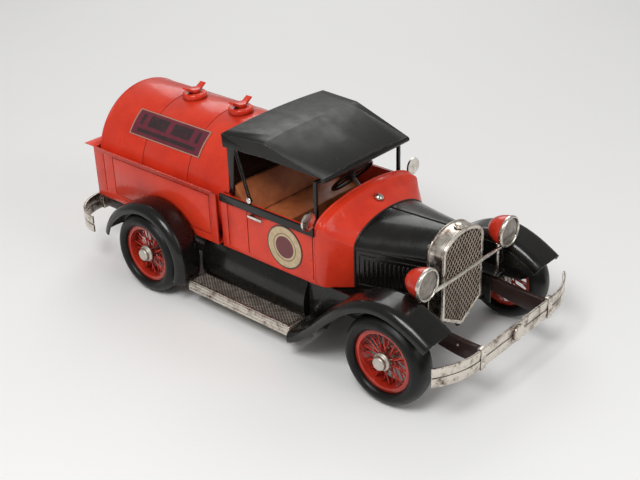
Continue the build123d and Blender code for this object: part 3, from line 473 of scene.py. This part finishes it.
def tank_plate(name, node, centre_z):
    """A maroon panel on the barrel: a thin pale border and plain dark bars."""
    panel = Finish(name, 0.34, coat=0.35)
    along = panel.math("SUBTRACT", panel.axis("X"), middle(node).x)
    length_share = panel.math("DIVIDE", along, reach(node).x / 2)
    rise = panel.math("SUBTRACT", panel.axis("Z"), centre_z)
    sideways = panel.math("ABSOLUTE", panel.axis("Y"))
    angle = panel.math("ARCTAN2", sideways, rise)
    low_rise, high_rise = low(node).z - centre_z, high(node).z - centre_z
    radius = hypot(high(node).y, low_rise)
    angle_low = atan2(high(node).y, low_rise)
    angle_high = atan2((radius ** 2 - high_rise ** 2) ** 0.5, high_rise)
    half_span = (angle_low - angle_high) / 2
    height_share = panel.math("DIVIDE", panel.math("SUBTRACT", angle, angle_high + half_span), half_span)
    far_x = panel.math("ABSOLUTE", length_share)
    far_z = panel.math("ABSOLUTE", height_share)
    clouds = panel.ramp(panel.noise(120.0, 5.0), 0.35, 0.7)
    field = panel.mix(clouds, (0.16, 0.012, 0.030), (0.10, 0.008, 0.020))
    edge = panel.math("MAXIMUM", panel.ramp(far_x, 0.965, 0.972), panel.ramp(far_z, 0.90, 0.915))
    bordered = panel.mix(edge, field, (0.42, 0.22, 0.16))
    bars = panel.math("ABSOLUTE", panel.math("SINE", panel.math("MULTIPLY", length_share, 1.5 * pi)))
    upper = panel.math("MULTIPLY", panel.ramp(bars, 0.30, 0.34), panel.ramp(height_share, -0.72, -0.68))
    upper = panel.math("MULTIPLY", upper, panel.ramp(height_share, 0.12, 0.16, 1.0, 0.0))
    lower_end = panel.ramp(height_share, 0.66, 0.70, 1.0, 0.0)
    lower = panel.math("MULTIPLY", panel.ramp(height_share, 0.38, 0.42), lower_end)
    inside = panel.ramp(far_x, 0.82, 0.83, 1.0, 0.0)
    marks = panel.math("MULTIPLY", panel.math("MAXIMUM", upper, lower), inside)
    worn = panel.math("MULTIPLY", marks, panel.ramp(panel.noise(500.0, 5.0), 0.3, 0.5, 0.5, 1.0))
    panel.colour(panel.mix(worn, bordered, (0.02, 0.010, 0.012)))
    panel.rough(panel.ramp(panel.noise(180.0), 0.3, 0.7, 0.28, 0.5))
    panel.bump(panel.noise(500.0, 4.0), 0.15, 0.1 * mm)
    return panel.material


red = enamel("red_enamel", (0.74, 0.046, 0.016), (0.58, 0.028, 0.011), (0.050, 0.007, 0.004),
             (0.24, 0.05, 0.03), 0.30, 0.28)
# The bowls' seam darkening reaches 9 mm, so it paints shade deep inside the headlight bowls.
bowl_red_painted_shade = enamel("bowl_red_painted_shade", (0.66, 0.040, 0.016), (0.42, 0.020, 0.009), (0.060, 0.010, 0.006),
                  (0.24, 0.06, 0.04), 0.26, 0.5, hollow_reach=9.0 * mm)
black = enamel("black_enamel", (0.0035, 0.0036, 0.0032), (0.0062, 0.0058, 0.0045), (0.016, 0.007, 0.005),
               (0.20, 0.19, 0.17), 0.24, 0.35)
roof_black = enamel("roof_black", (0.0045, 0.0044, 0.0040), (0.0080, 0.0075, 0.0062), (0.008, 0.005, 0.004),
                    (0.34, 0.33, 0.31), 0.36, 0.12, edge_wear_and_highlight_strength=0.9)
interior = enamel("dark_interior", (0.060, 0.010, 0.007), (0.035, 0.007, 0.005), (0.012, 0.004, 0.003),
                  (0.12, 0.05, 0.03), 0.5, 0.1)
dark_steel = enamel("dark_steel", (0.018, 0.009, 0.007), (0.030, 0.013, 0.010), (0.010, 0.004, 0.003),
                    (0.20, 0.16, 0.13), 0.38, 0.25)
wheel_red = enamel("wheel_red", (0.50, 0.030, 0.013), (0.34, 0.018, 0.009), (0.03, 0.005, 0.003),
                   (0.30, 0.10, 0.08), 0.25, 0.6)
nickel = plated("aged_nickel", (0.74, 0.68, 0.60), (0.10, 0.052, 0.030), 0.24, 3.0 * mm, 0.95)
bright = plated("bright_plate", (0.84, 0.80, 0.73), (0.20, 0.12, 0.07), 0.22, amount=0.55)
hub_silver = plated("hub_silver", (0.66, 0.62, 0.55), (0.34, 0.26, 0.18), 0.46, amount=0.35)
copper = plated("grille_copper", (0.58, 0.49, 0.41), (0.20, 0.12, 0.075), 0.40, amount=0.5)
steel = plated("axle_steel", (0.42, 0.39, 0.36), (0.14, 0.08, 0.05), 0.42)
front_rubber = tyre_rubber("tyre_rubber_front", front_axle_x)
rear_rubber = tyre_rubber("tyre_rubber_rear", rear_axle_x)
diamond_plate = tread_plate("tread_plate")
hide = leather("seat_leather", (0.56, 0.17, 0.055), (0.34, 0.085, 0.03))
lens_silver = lamp_glass("lens_silver")
badge = roundel("emblem_cream", middle("door_emblems"), reach("door_emblems").x / 2)
tank_centre_z = high("tank_shell").z - reach("tank_shell").y / 2
maroon = tank_plate("label_maroon", "tank_labels", tank_centre_z)

# ---------------------------------------------------------------- pressed tin, softened along its edges
pressed("chassis_frame", black, 0.3 * mm)
pressed("side_aprons", black, 0.3 * mm)
pressed("running_boards", nickel, 0.35 * mm)
pressed("cab_body", red, 0.18 * mm)
pressed("belt_mouldings", black, 0.2 * mm)
pressed("cab_floor", interior, 0.2 * mm)
pressed("cab_back", black, 0.3 * mm)
pressed("roof_canopy", roof_black, 0.7 * mm, segments=3, angle=8.0, smooth=45.0)
pressed("windshield_frame", black, 0.5 * mm, segments=3)
pressed("cowl", red, 0.25 * mm, angle=40.0, smooth=40.0)
pressed("hood", black, 0.3 * mm, angle=40.0, smooth=40.0)
pressed("dashboard", interior, 0.3 * mm, angle=40.0)
pressed("radiator_shell", nickel, 0.4 * mm, segments=3)
pressed("radiator_cap", nickel, 0.4 * mm, segments=3)
pressed("cowl_cap", bright, 0.25 * mm)
pressed("truck_bed", red, 0.22 * mm)
pressed("tank_shell", red, 0.25 * mm, angle=40.0, smooth=40.0)
pressed("filler_necks", red, 0.4 * mm, segments=3)
pressed("filler_nut_front", red, 0.6 * mm, segments=3)
pressed("filler_nut_rear", red, 0.6 * mm, segments=3)
pressed("front_bumper", nickel, 0.35 * mm)
pressed("rear_bumper", nickel, 0.35 * mm)
pressed("bumper_clamps", nickel, 0.5 * mm, segments=3)
pressed("bumper_arms", dark_steel, 0.4 * mm)
pressed("landau_bars", black, 0.15 * mm)
pressed("side_mirrors", bright, 0.35 * mm, segments=3)
pressed("door_handles", bright, 0.35 * mm, segments=3)
pressed("headlight_buckets", bowl_red_painted_shade, 0.2 * mm)
pressed("headlight_rims", bright, 0.2 * mm)
pressed("headlight_mounts", bright, 0.2 * mm)
pressed("steering_column", steel, 0.2 * mm)
pressed("steering_wheel", dark_steel, 0.15 * mm)
pressed("wheel_axles", steel, 0.3 * mm)
for fender in ("front_fender_left", "front_fender_right", "rear_fender_left", "rear_fender_right"):
    pressed(fender, black, 0.3 * mm, angle=40.0, smooth=50.0)
for end, rubber in (("front", front_rubber), ("rear", rear_rubber)):
    for side in ("left", "right"):
        pressed(f"{end}_{side}_tyre", rubber, 0.2 * mm, smooth=50.0)
        pressed(f"{end}_{side}_rim", wheel_red, 0.3 * mm, segments=3)
        pressed(f"{end}_{side}_hub", hub_silver, 0.5 * mm, segments=3)
        keep_mesh(f"{end}_{side}_spokes", wheel_red)

# ---------------------------------------------------------------- nodes that keep their own mesh
keep_mesh("running_board_treads", diamond_plate)
keep_mesh("door_emblems", badge)
keep_mesh("tank_labels", maroon)
keep_mesh("headlight_lenses", lens_silver)
keep_mesh("grille_mesh", dark_steel)


# ---------------------------------------------------------------- grille
def grille():
    """Crossed strips, soldered into diamonds, trimmed to the radiator's outline."""
    centre = middle("grille_mesh")
    width, height = reach("grille_mesh").y, reach("grille_mesh").z
    cell = 3.6 * mm
    count = 46
    diamond_height = 1.42
    in_front = 0.45 * mm
    arch_rise = point_drop = 11.0 * mm
    rim = 0.5 * mm
    sheet = count * cell / 2 ** 0.5
    bpy.ops.mesh.primitive_grid_add(x_subdivisions=count, y_subdivisions=count, size=sheet)
    lattice = new_name("grille_lattice")
    lattice.rotation_euler = (0, 0, radians(45))
    settle(lattice)
    lattice.scale = (1, diamond_height, 1)
    settle(lattice)
    lattice.rotation_euler = (radians(90), 0, radians(90))
    lattice.location = (high("grille_mesh").x + in_front, centre.y, centre.z)
    settle(lattice)
    side_low = centre.z - height / 2 + point_drop + rim
    side_high = high("grille_mesh").z - arch_rise - rim
    half = width / 2 - 0.8 * mm
    keep = []
    for face in lattice.data.polygons:
        y, z = face.center.y, face.center.z
        top = side_high + arch_rise * max(0.0, 1 - (y / half) ** 2) ** 0.5
        bottom = side_low - point_drop * (1 - abs(y) / half)
        keep.append(abs(y) < half and bottom < z < top)
    hold(lattice)
    bpy.ops.object.mode_set(mode="EDIT")
    bpy.ops.mesh.select_mode(type="FACE")
    bpy.ops.mesh.select_all(action="DESELECT")
    bpy.ops.object.mode_set(mode="OBJECT")
    for face, kept in zip(lattice.data.polygons, keep):
        face.select = not kept
    bpy.ops.object.mode_set(mode="EDIT")
    bpy.ops.mesh.delete(type="FACE")
    bpy.ops.object.mode_set(mode="OBJECT")
    strips = lattice.modifiers.new("strips", "WIREFRAME")
    strips.thickness = 0.62 * mm
    bpy.ops.object.modifier_apply(modifier="strips")
    dress(lattice, copper, "truck")


grille()

# ---------------------------------------------------------------- hood details
hood_low, hood_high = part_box("hood")
hood_rear = Vector((hood_low.x, hood_high.y, 0))
hood_front = Vector((hood_high.x, reach("radiator_shell").y / 2 + 0.6 * mm, 0))
hood_run = hood_front - hood_rear
hood_turn = atan2(hood_run.y, hood_run.x)
nose_side_z = axle_z + 45.45 * mm
nose_top_z = axle_z + 61.85 * mm
hood_side_front_z = axle_z + 46.0 * mm


def louvres():
    """A row of pressed louvres on each side of the hood, inside a raised frame."""
    count = 13
    height = 17.0 * mm
    frame_gap = 2.2 * mm
    wire = 1.0 * mm
    centre_z = hood_low.z + 13.6 * mm
    fins = []
    for k in range(count):
        at = hood_rear + hood_run * ((k + 2.2) / (count + 3.4))
        fin = block("louvre", (at.x, at.y, centre_z), (1.5 * mm, 1.3 * mm, height), hood_turn)
        soften(fin, 0.6 * mm, segments=3)
        fins.append(fin)
    for z in (centre_z - height / 2 - frame_gap, centre_z + height / 2 + frame_gap):
        at = hood_rear + hood_run * 0.5
        rail = block("louvre_rail", (at.x, at.y, z), (hood_run.length * 0.88, wire, wire), hood_turn)
        soften(rail, 0.35 * mm)
        fins.append(rail)
    for share in (0.06, 0.94):
        at = hood_rear + hood_run * share
        tall = height + 2 * (frame_gap + wire / 2)
        stile = block("louvre_stile", (at.x, at.y, centre_z), (wire, wire, tall), hood_turn)
        soften(stile, 0.35 * mm)
        fins.append(stile)
    dress(both_sides("hood_louvres", join("louvre_row", fins)), black, "truck")


louvres()


def arch_points(x, half, side_z, top_z, low_z, proud, steps=28):
    """Points round an arch: up one side, over the half ellipse, and down the other."""
    points = [(x, -half - proud, low_z), (x, -half - proud, (low_z + side_z) / 2)]
    for k in range(steps + 1):
        a = pi - pi * k / steps
        points.append((x, (half + proud) * cos(a), side_z + (top_z - side_z + proud) * sin(a)))
    points.extend([(x, half + proud, (low_z + side_z) / 2), (x, half + proud, low_z)])
    return points


def nose_beads():
    """Rolled beads round the cowl's rear edge and round the seam between cowl and hood."""
    cowl_low, cowl_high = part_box("cowl")
    belt_top = high("belt_mouldings").z
    rear = arch_points(cowl_low.x + 1.2 * mm, cowl_high.y, belt_top, cowl_high.z, belt_top, -0.5 * mm)
    dress(tube("cowl_bead", rear[2:-2], 1.0 * mm), red, "truck")
    nose_half = hood_high.y + 0.3 * mm
    seam = arch_points(hood_low.x, nose_half, nose_side_z, nose_top_z, hood_low.z + 1.0 * mm, -0.35 * mm)
    dress(tube("hood_seam_bead", seam, 0.75 * mm), dark_steel, "truck")


nose_beads()


def hood_hinges():
    """The centre hinge of the hood, and one along each shoulder."""
    top = tube("hinge", [(hood_low.x, 0, nose_top_z - 0.3 * mm), (hood_high.x, 0, hood_high.z)], 0.7 * mm)
    side = tube("hinge_side", [(hood_rear.x, hood_rear.y - 0.1 * mm, nose_side_z - 0.3 * mm),
                               (hood_front.x, hood_front.y - 0.1 * mm, hood_side_front_z)], 0.6 * mm)
    dress(join("hood_hinges", [top, both_sides("hinge_sides", side)]), black, "truck")


hood_hinges()


def radiator_rings():
    """A rolled ring round the rear flange of the radiator shell, and one round its face."""
    shell_low, shell_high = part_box("radiator_shell")
    half = reach("radiator_shell").y / 2
    arch_height, point_height = 12.5 * mm, 13.5 * mm
    side_z, low_z = shell_high.z - arch_height, shell_low.z + point_height
    rings = []
    for x, radius in ((shell_low.x + 0.9 * mm, 0.9 * mm), (shell_high.x - 1.3 * mm, 0.6 * mm)):
        points = arch_points(x, half, side_z, shell_high.z, low_z, -0.3 * mm)
        rings.append(tube("radiator_ring", points, radius))
    dress(join("radiator_rings", rings), nickel, "truck")


radiator_rings()


# ---------------------------------------------------------------- seat
def seat_base():
    """The padded seat filling its CAD solid: crowned, with sewn channels across it."""
    crown, channels = 1.8 * mm, 6
    inset = 0.4 * mm
    size, centre = reach("seat_cushion"), middle("seat_cushion")
    pad = fine_block("seat_base", "seat_cushion")
    for point in pad.data.vertices:
        u = (point.co.x - centre.x) / (size.x / 2)
        v = (point.co.y - centre.y) / (size.y / 2)
        w = (point.co.z - centre.z) / (size.z / 2)
        groove = abs(sin(v * channels * pi / 2)) ** 0.35
        swell = max(0.0, 1 - u ** 4) * max(0.0, 1 - v ** 8)
        if w > 0.9:
            point.co.z -= crown * (1 - swell * (0.55 + 0.45 * groove))
        pull = inset - 0.2 * 0.9 * mm * (1 - w ** 2)
        if abs(u) > 0.95:
            point.co.x -= pull * (1 if u > 0 else -1)
        if abs(v) > 0.95:
            point.co.y -= pull * (1 if v > 0 else -1)
    soften(pad, 0.6 * mm, angle=50.0, smooth=80.0)
    dress(pad, hide, "truck")
    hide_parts("seat_cushion")


seat_base()


def seat_rest():
    """The raked backrest, thick below and thin above, with upright channels."""
    low_corner = low("seat_back")
    size, centre = reach("seat_back"), middle("seat_back")
    pad = fine_block("seat_rest", "seat_back")
    top_depth, low_depth = 4.0 * mm, size.x
    for point in pad.data.vertices:
        u = (point.co.x - low_corner.x) / size.x
        v = (point.co.y - centre.y) / (size.y / 2)
        w = (point.co.z - low_corner.z) / size.z
        depth = low_depth + (top_depth - low_depth) * w
        groove = abs(sin(v * 3.5 * pi)) ** 0.35
        swell = (1 - v ** 8) * sin(pi * min(1.0, w * 0.9 + 0.08)) ** 0.5
        sunk = 0.4 * mm + 1.3 * mm * (1 - swell * (0.5 + 0.5 * groove))
        point.co.x = low_corner.x + u * (depth - sunk)
        point.co.y = centre.y + v * (size.y / 2 - 0.3 * mm)
    soften(pad, 0.6 * mm, angle=50.0, smooth=80.0)
    dress(pad, hide, "truck")
    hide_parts("seat_back")


seat_rest()


# ---------------------------------------------------------------- trim
def running_board_trim():
    """Three bright strips along each running board and two lips along its outer edge."""
    low_corner, high_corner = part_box("running_boards")
    top = high("running_board_treads").z
    strips = []
    inner_y = 51.3 * mm
    for share, width in ((0.045, 1.0 * mm), (0.12, 0.6 * mm), (0.955, 1.0 * mm)):
        y = inner_y + share * (high_corner.y - inner_y)
        strip = block("board_strip", (middle("running_boards").x, y, top - 0.1 * mm),
                      (reach("running_boards").x - 3.0 * mm, width, 0.7 * mm))
        strips.append(soften(strip, 0.2 * mm))
    for rise in (1.6 * mm, 4.4 * mm):
        lip = block("board_lip", (middle("running_boards").x, high_corner.y - 0.1 * mm, low_corner.z + rise),
                    (reach("running_boards").x - 2.0 * mm, 0.8 * mm, 0.9 * mm))
        strips.append(soften(lip, 0.3 * mm))
    dress(both_sides("running_board_trim", join("board_strips", strips)), bright, "truck")


running_board_trim()


def tank_rims():
    """Rolled rims round the two ends of the barrel."""
    ring_radius = reach("tank_shell").y / 2 - 0.35 * mm
    low_corner, high_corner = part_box("tank_shell")
    for name, x in (("tank_rim_rear", low_corner.x + 3.4 * mm), ("tank_rim_front", high_corner.x - 1.4 * mm)):
        points = []
        for k in range(49):
            a = radians(-22 + 224 * k / 48)
            points.append((x, ring_radius * cos(a), tank_centre_z + ring_radius * sin(a)))
        dress(tube(name, points, 0.7 * mm), red, "truck")


tank_rims()


def arm_rivets():
    """Two small domed rivets on the outer face of each front bumper arm."""
    arm_low = low("bumper_arms")
    face_y = high("chassis_frame").y + 4.0 * mm
    heads = []
    for share in (0.915, 0.955):
        place = (arm_low.x + share * reach("bumper_arms").x, face_y, arm_low.z + 8.0 * mm)
        heads.append(domed_head("rivet", place, 1.0 * mm, (1, 0.5, 1), segments=16, rings=8))
    dress(both_sides("arm_rivets", join("rivet_row", heads)), nickel, "truck")


arm_rivets()


def clamp_bolts():
    """Two domed bolts through each front clamp, one for each bar."""
    front_x = high("bumper_clamps").x - 1.0 * mm
    bolt_y = 37.6 * mm
    from_middle = 3.5 * mm
    bars_z = middle("front_bumper").z
    heads = [domed_head("clamp_bolt", (front_x, bolt_y, bars_z + shift), 1.3 * mm, (0.5, 1, 1))
             for shift in (-from_middle, from_middle)]
    dress(both_sides("clamp_bolts", join("clamp_bolt_pair", heads)), bright, "truck")


clamp_bolts()


def landau_knobs():
    """A bright knob at the foot of each pair of stays."""
    bars_low, bars_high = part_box("landau_bars")
    place = (bars_high.x - 2.0 * mm, bars_high.y - 0.3 * mm, bars_low.z + 2.0 * mm)
    knob = domed_head("landau_knob", place, 2.3 * mm, (1, 0.4, 1))
    dress(both_sides("landau_knobs", knob), bright, "truck")


landau_knobs()


def radiator_foot():
    """A small round drain knob under the point of the radiator."""
    shell_low, shell_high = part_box("radiator_shell")
    place = (shell_high.x - 3.0 * mm, 0, shell_low.z - 0.2 * mm)
    knob = domed_head("radiator_drain_knob", place, 1.9 * mm, (1, 1, 0.85), segments=24)
    dress(knob, dark_steel, "truck")


radiator_foot()

# ---------------------------------------------------------------- stage, light and camera
scene = bpy.context.scene
scene.view_settings.view_transform = "Standard"
world = bpy.data.worlds.new("studio")
world.use_nodes = True
world.node_tree.nodes["Background"].inputs["Color"].default_value = (1.0, 0.99, 0.97, 1.0)
world.node_tree.nodes["Background"].inputs["Strength"].default_value = 0.34
scene.world = world

bpy.ops.mesh.primitive_plane_add(size=12.0, location=(0, 0, 0))
floor = new_name("studio_floor")
paper = Finish("studio_paper", 0.9)
paper.colour(paper.mix(paper.ramp(paper.noise(3.0), 0.3, 0.7), (0.90, 0.90, 0.895), (0.915, 0.915, 0.91)))
floor.data.materials.append(paper.material)


def softbox(name, place, aim, size, power):
    """A soft square light."""
    lamp = bpy.data.lights.new(name, "AREA")
    lamp.size = size
    lamp.energy = power
    holder = bpy.data.objects.new(name, lamp)
    scene.collection.objects.link(holder)
    holder.location = place
    holder.rotation_euler = (Vector(aim) - Vector(place)).to_track_quat("-Z", "Y").to_euler()


truck_middle = (0.0, 0.0, 60 * mm)
softbox("key_light", (0.25, -0.75, 1.1), truck_middle, 0.5, 9.5)
softbox("fill_light", (1.1, 0.1, 0.7), truck_middle, 0.6, 2.6)
softbox("back_light", (-0.7, 0.8, 0.9), truck_middle, 0.7, 4.0)


def make_camera():
    """The camera, at the height and turn that show the truck's right side from the front."""
    place = (0.4850, -0.5130, 0.4192)
    turn, rise, roll = radians(42.55), radians(28.15), radians(-1.86)
    back = Vector((sin(turn) * cos(rise), -cos(turn) * cos(rise), sin(rise)))
    right = Vector((cos(turn), sin(turn), 0))
    up = back.cross(right)
    rolled_right = cos(roll) * right + sin(roll) * up
    rolled_up = cos(roll) * up - sin(roll) * right
    lens = bpy.data.cameras.new("camera")
    lens.sensor_width = 36.0
    lens.lens = 62.94
    lens.clip_start = 0.01
    camera = bpy.data.objects.new("camera", lens)
    scene.collection.objects.link(camera)
    turned = Matrix((rolled_right, rolled_up, back)).transposed().to_4x4()
    camera.matrix_world = Matrix.Translation(place) @ turned
    scene.camera = camera


make_camera()

# ---------------------------------------------------------------- last update of the view layer
bpy.context.view_layer.update()
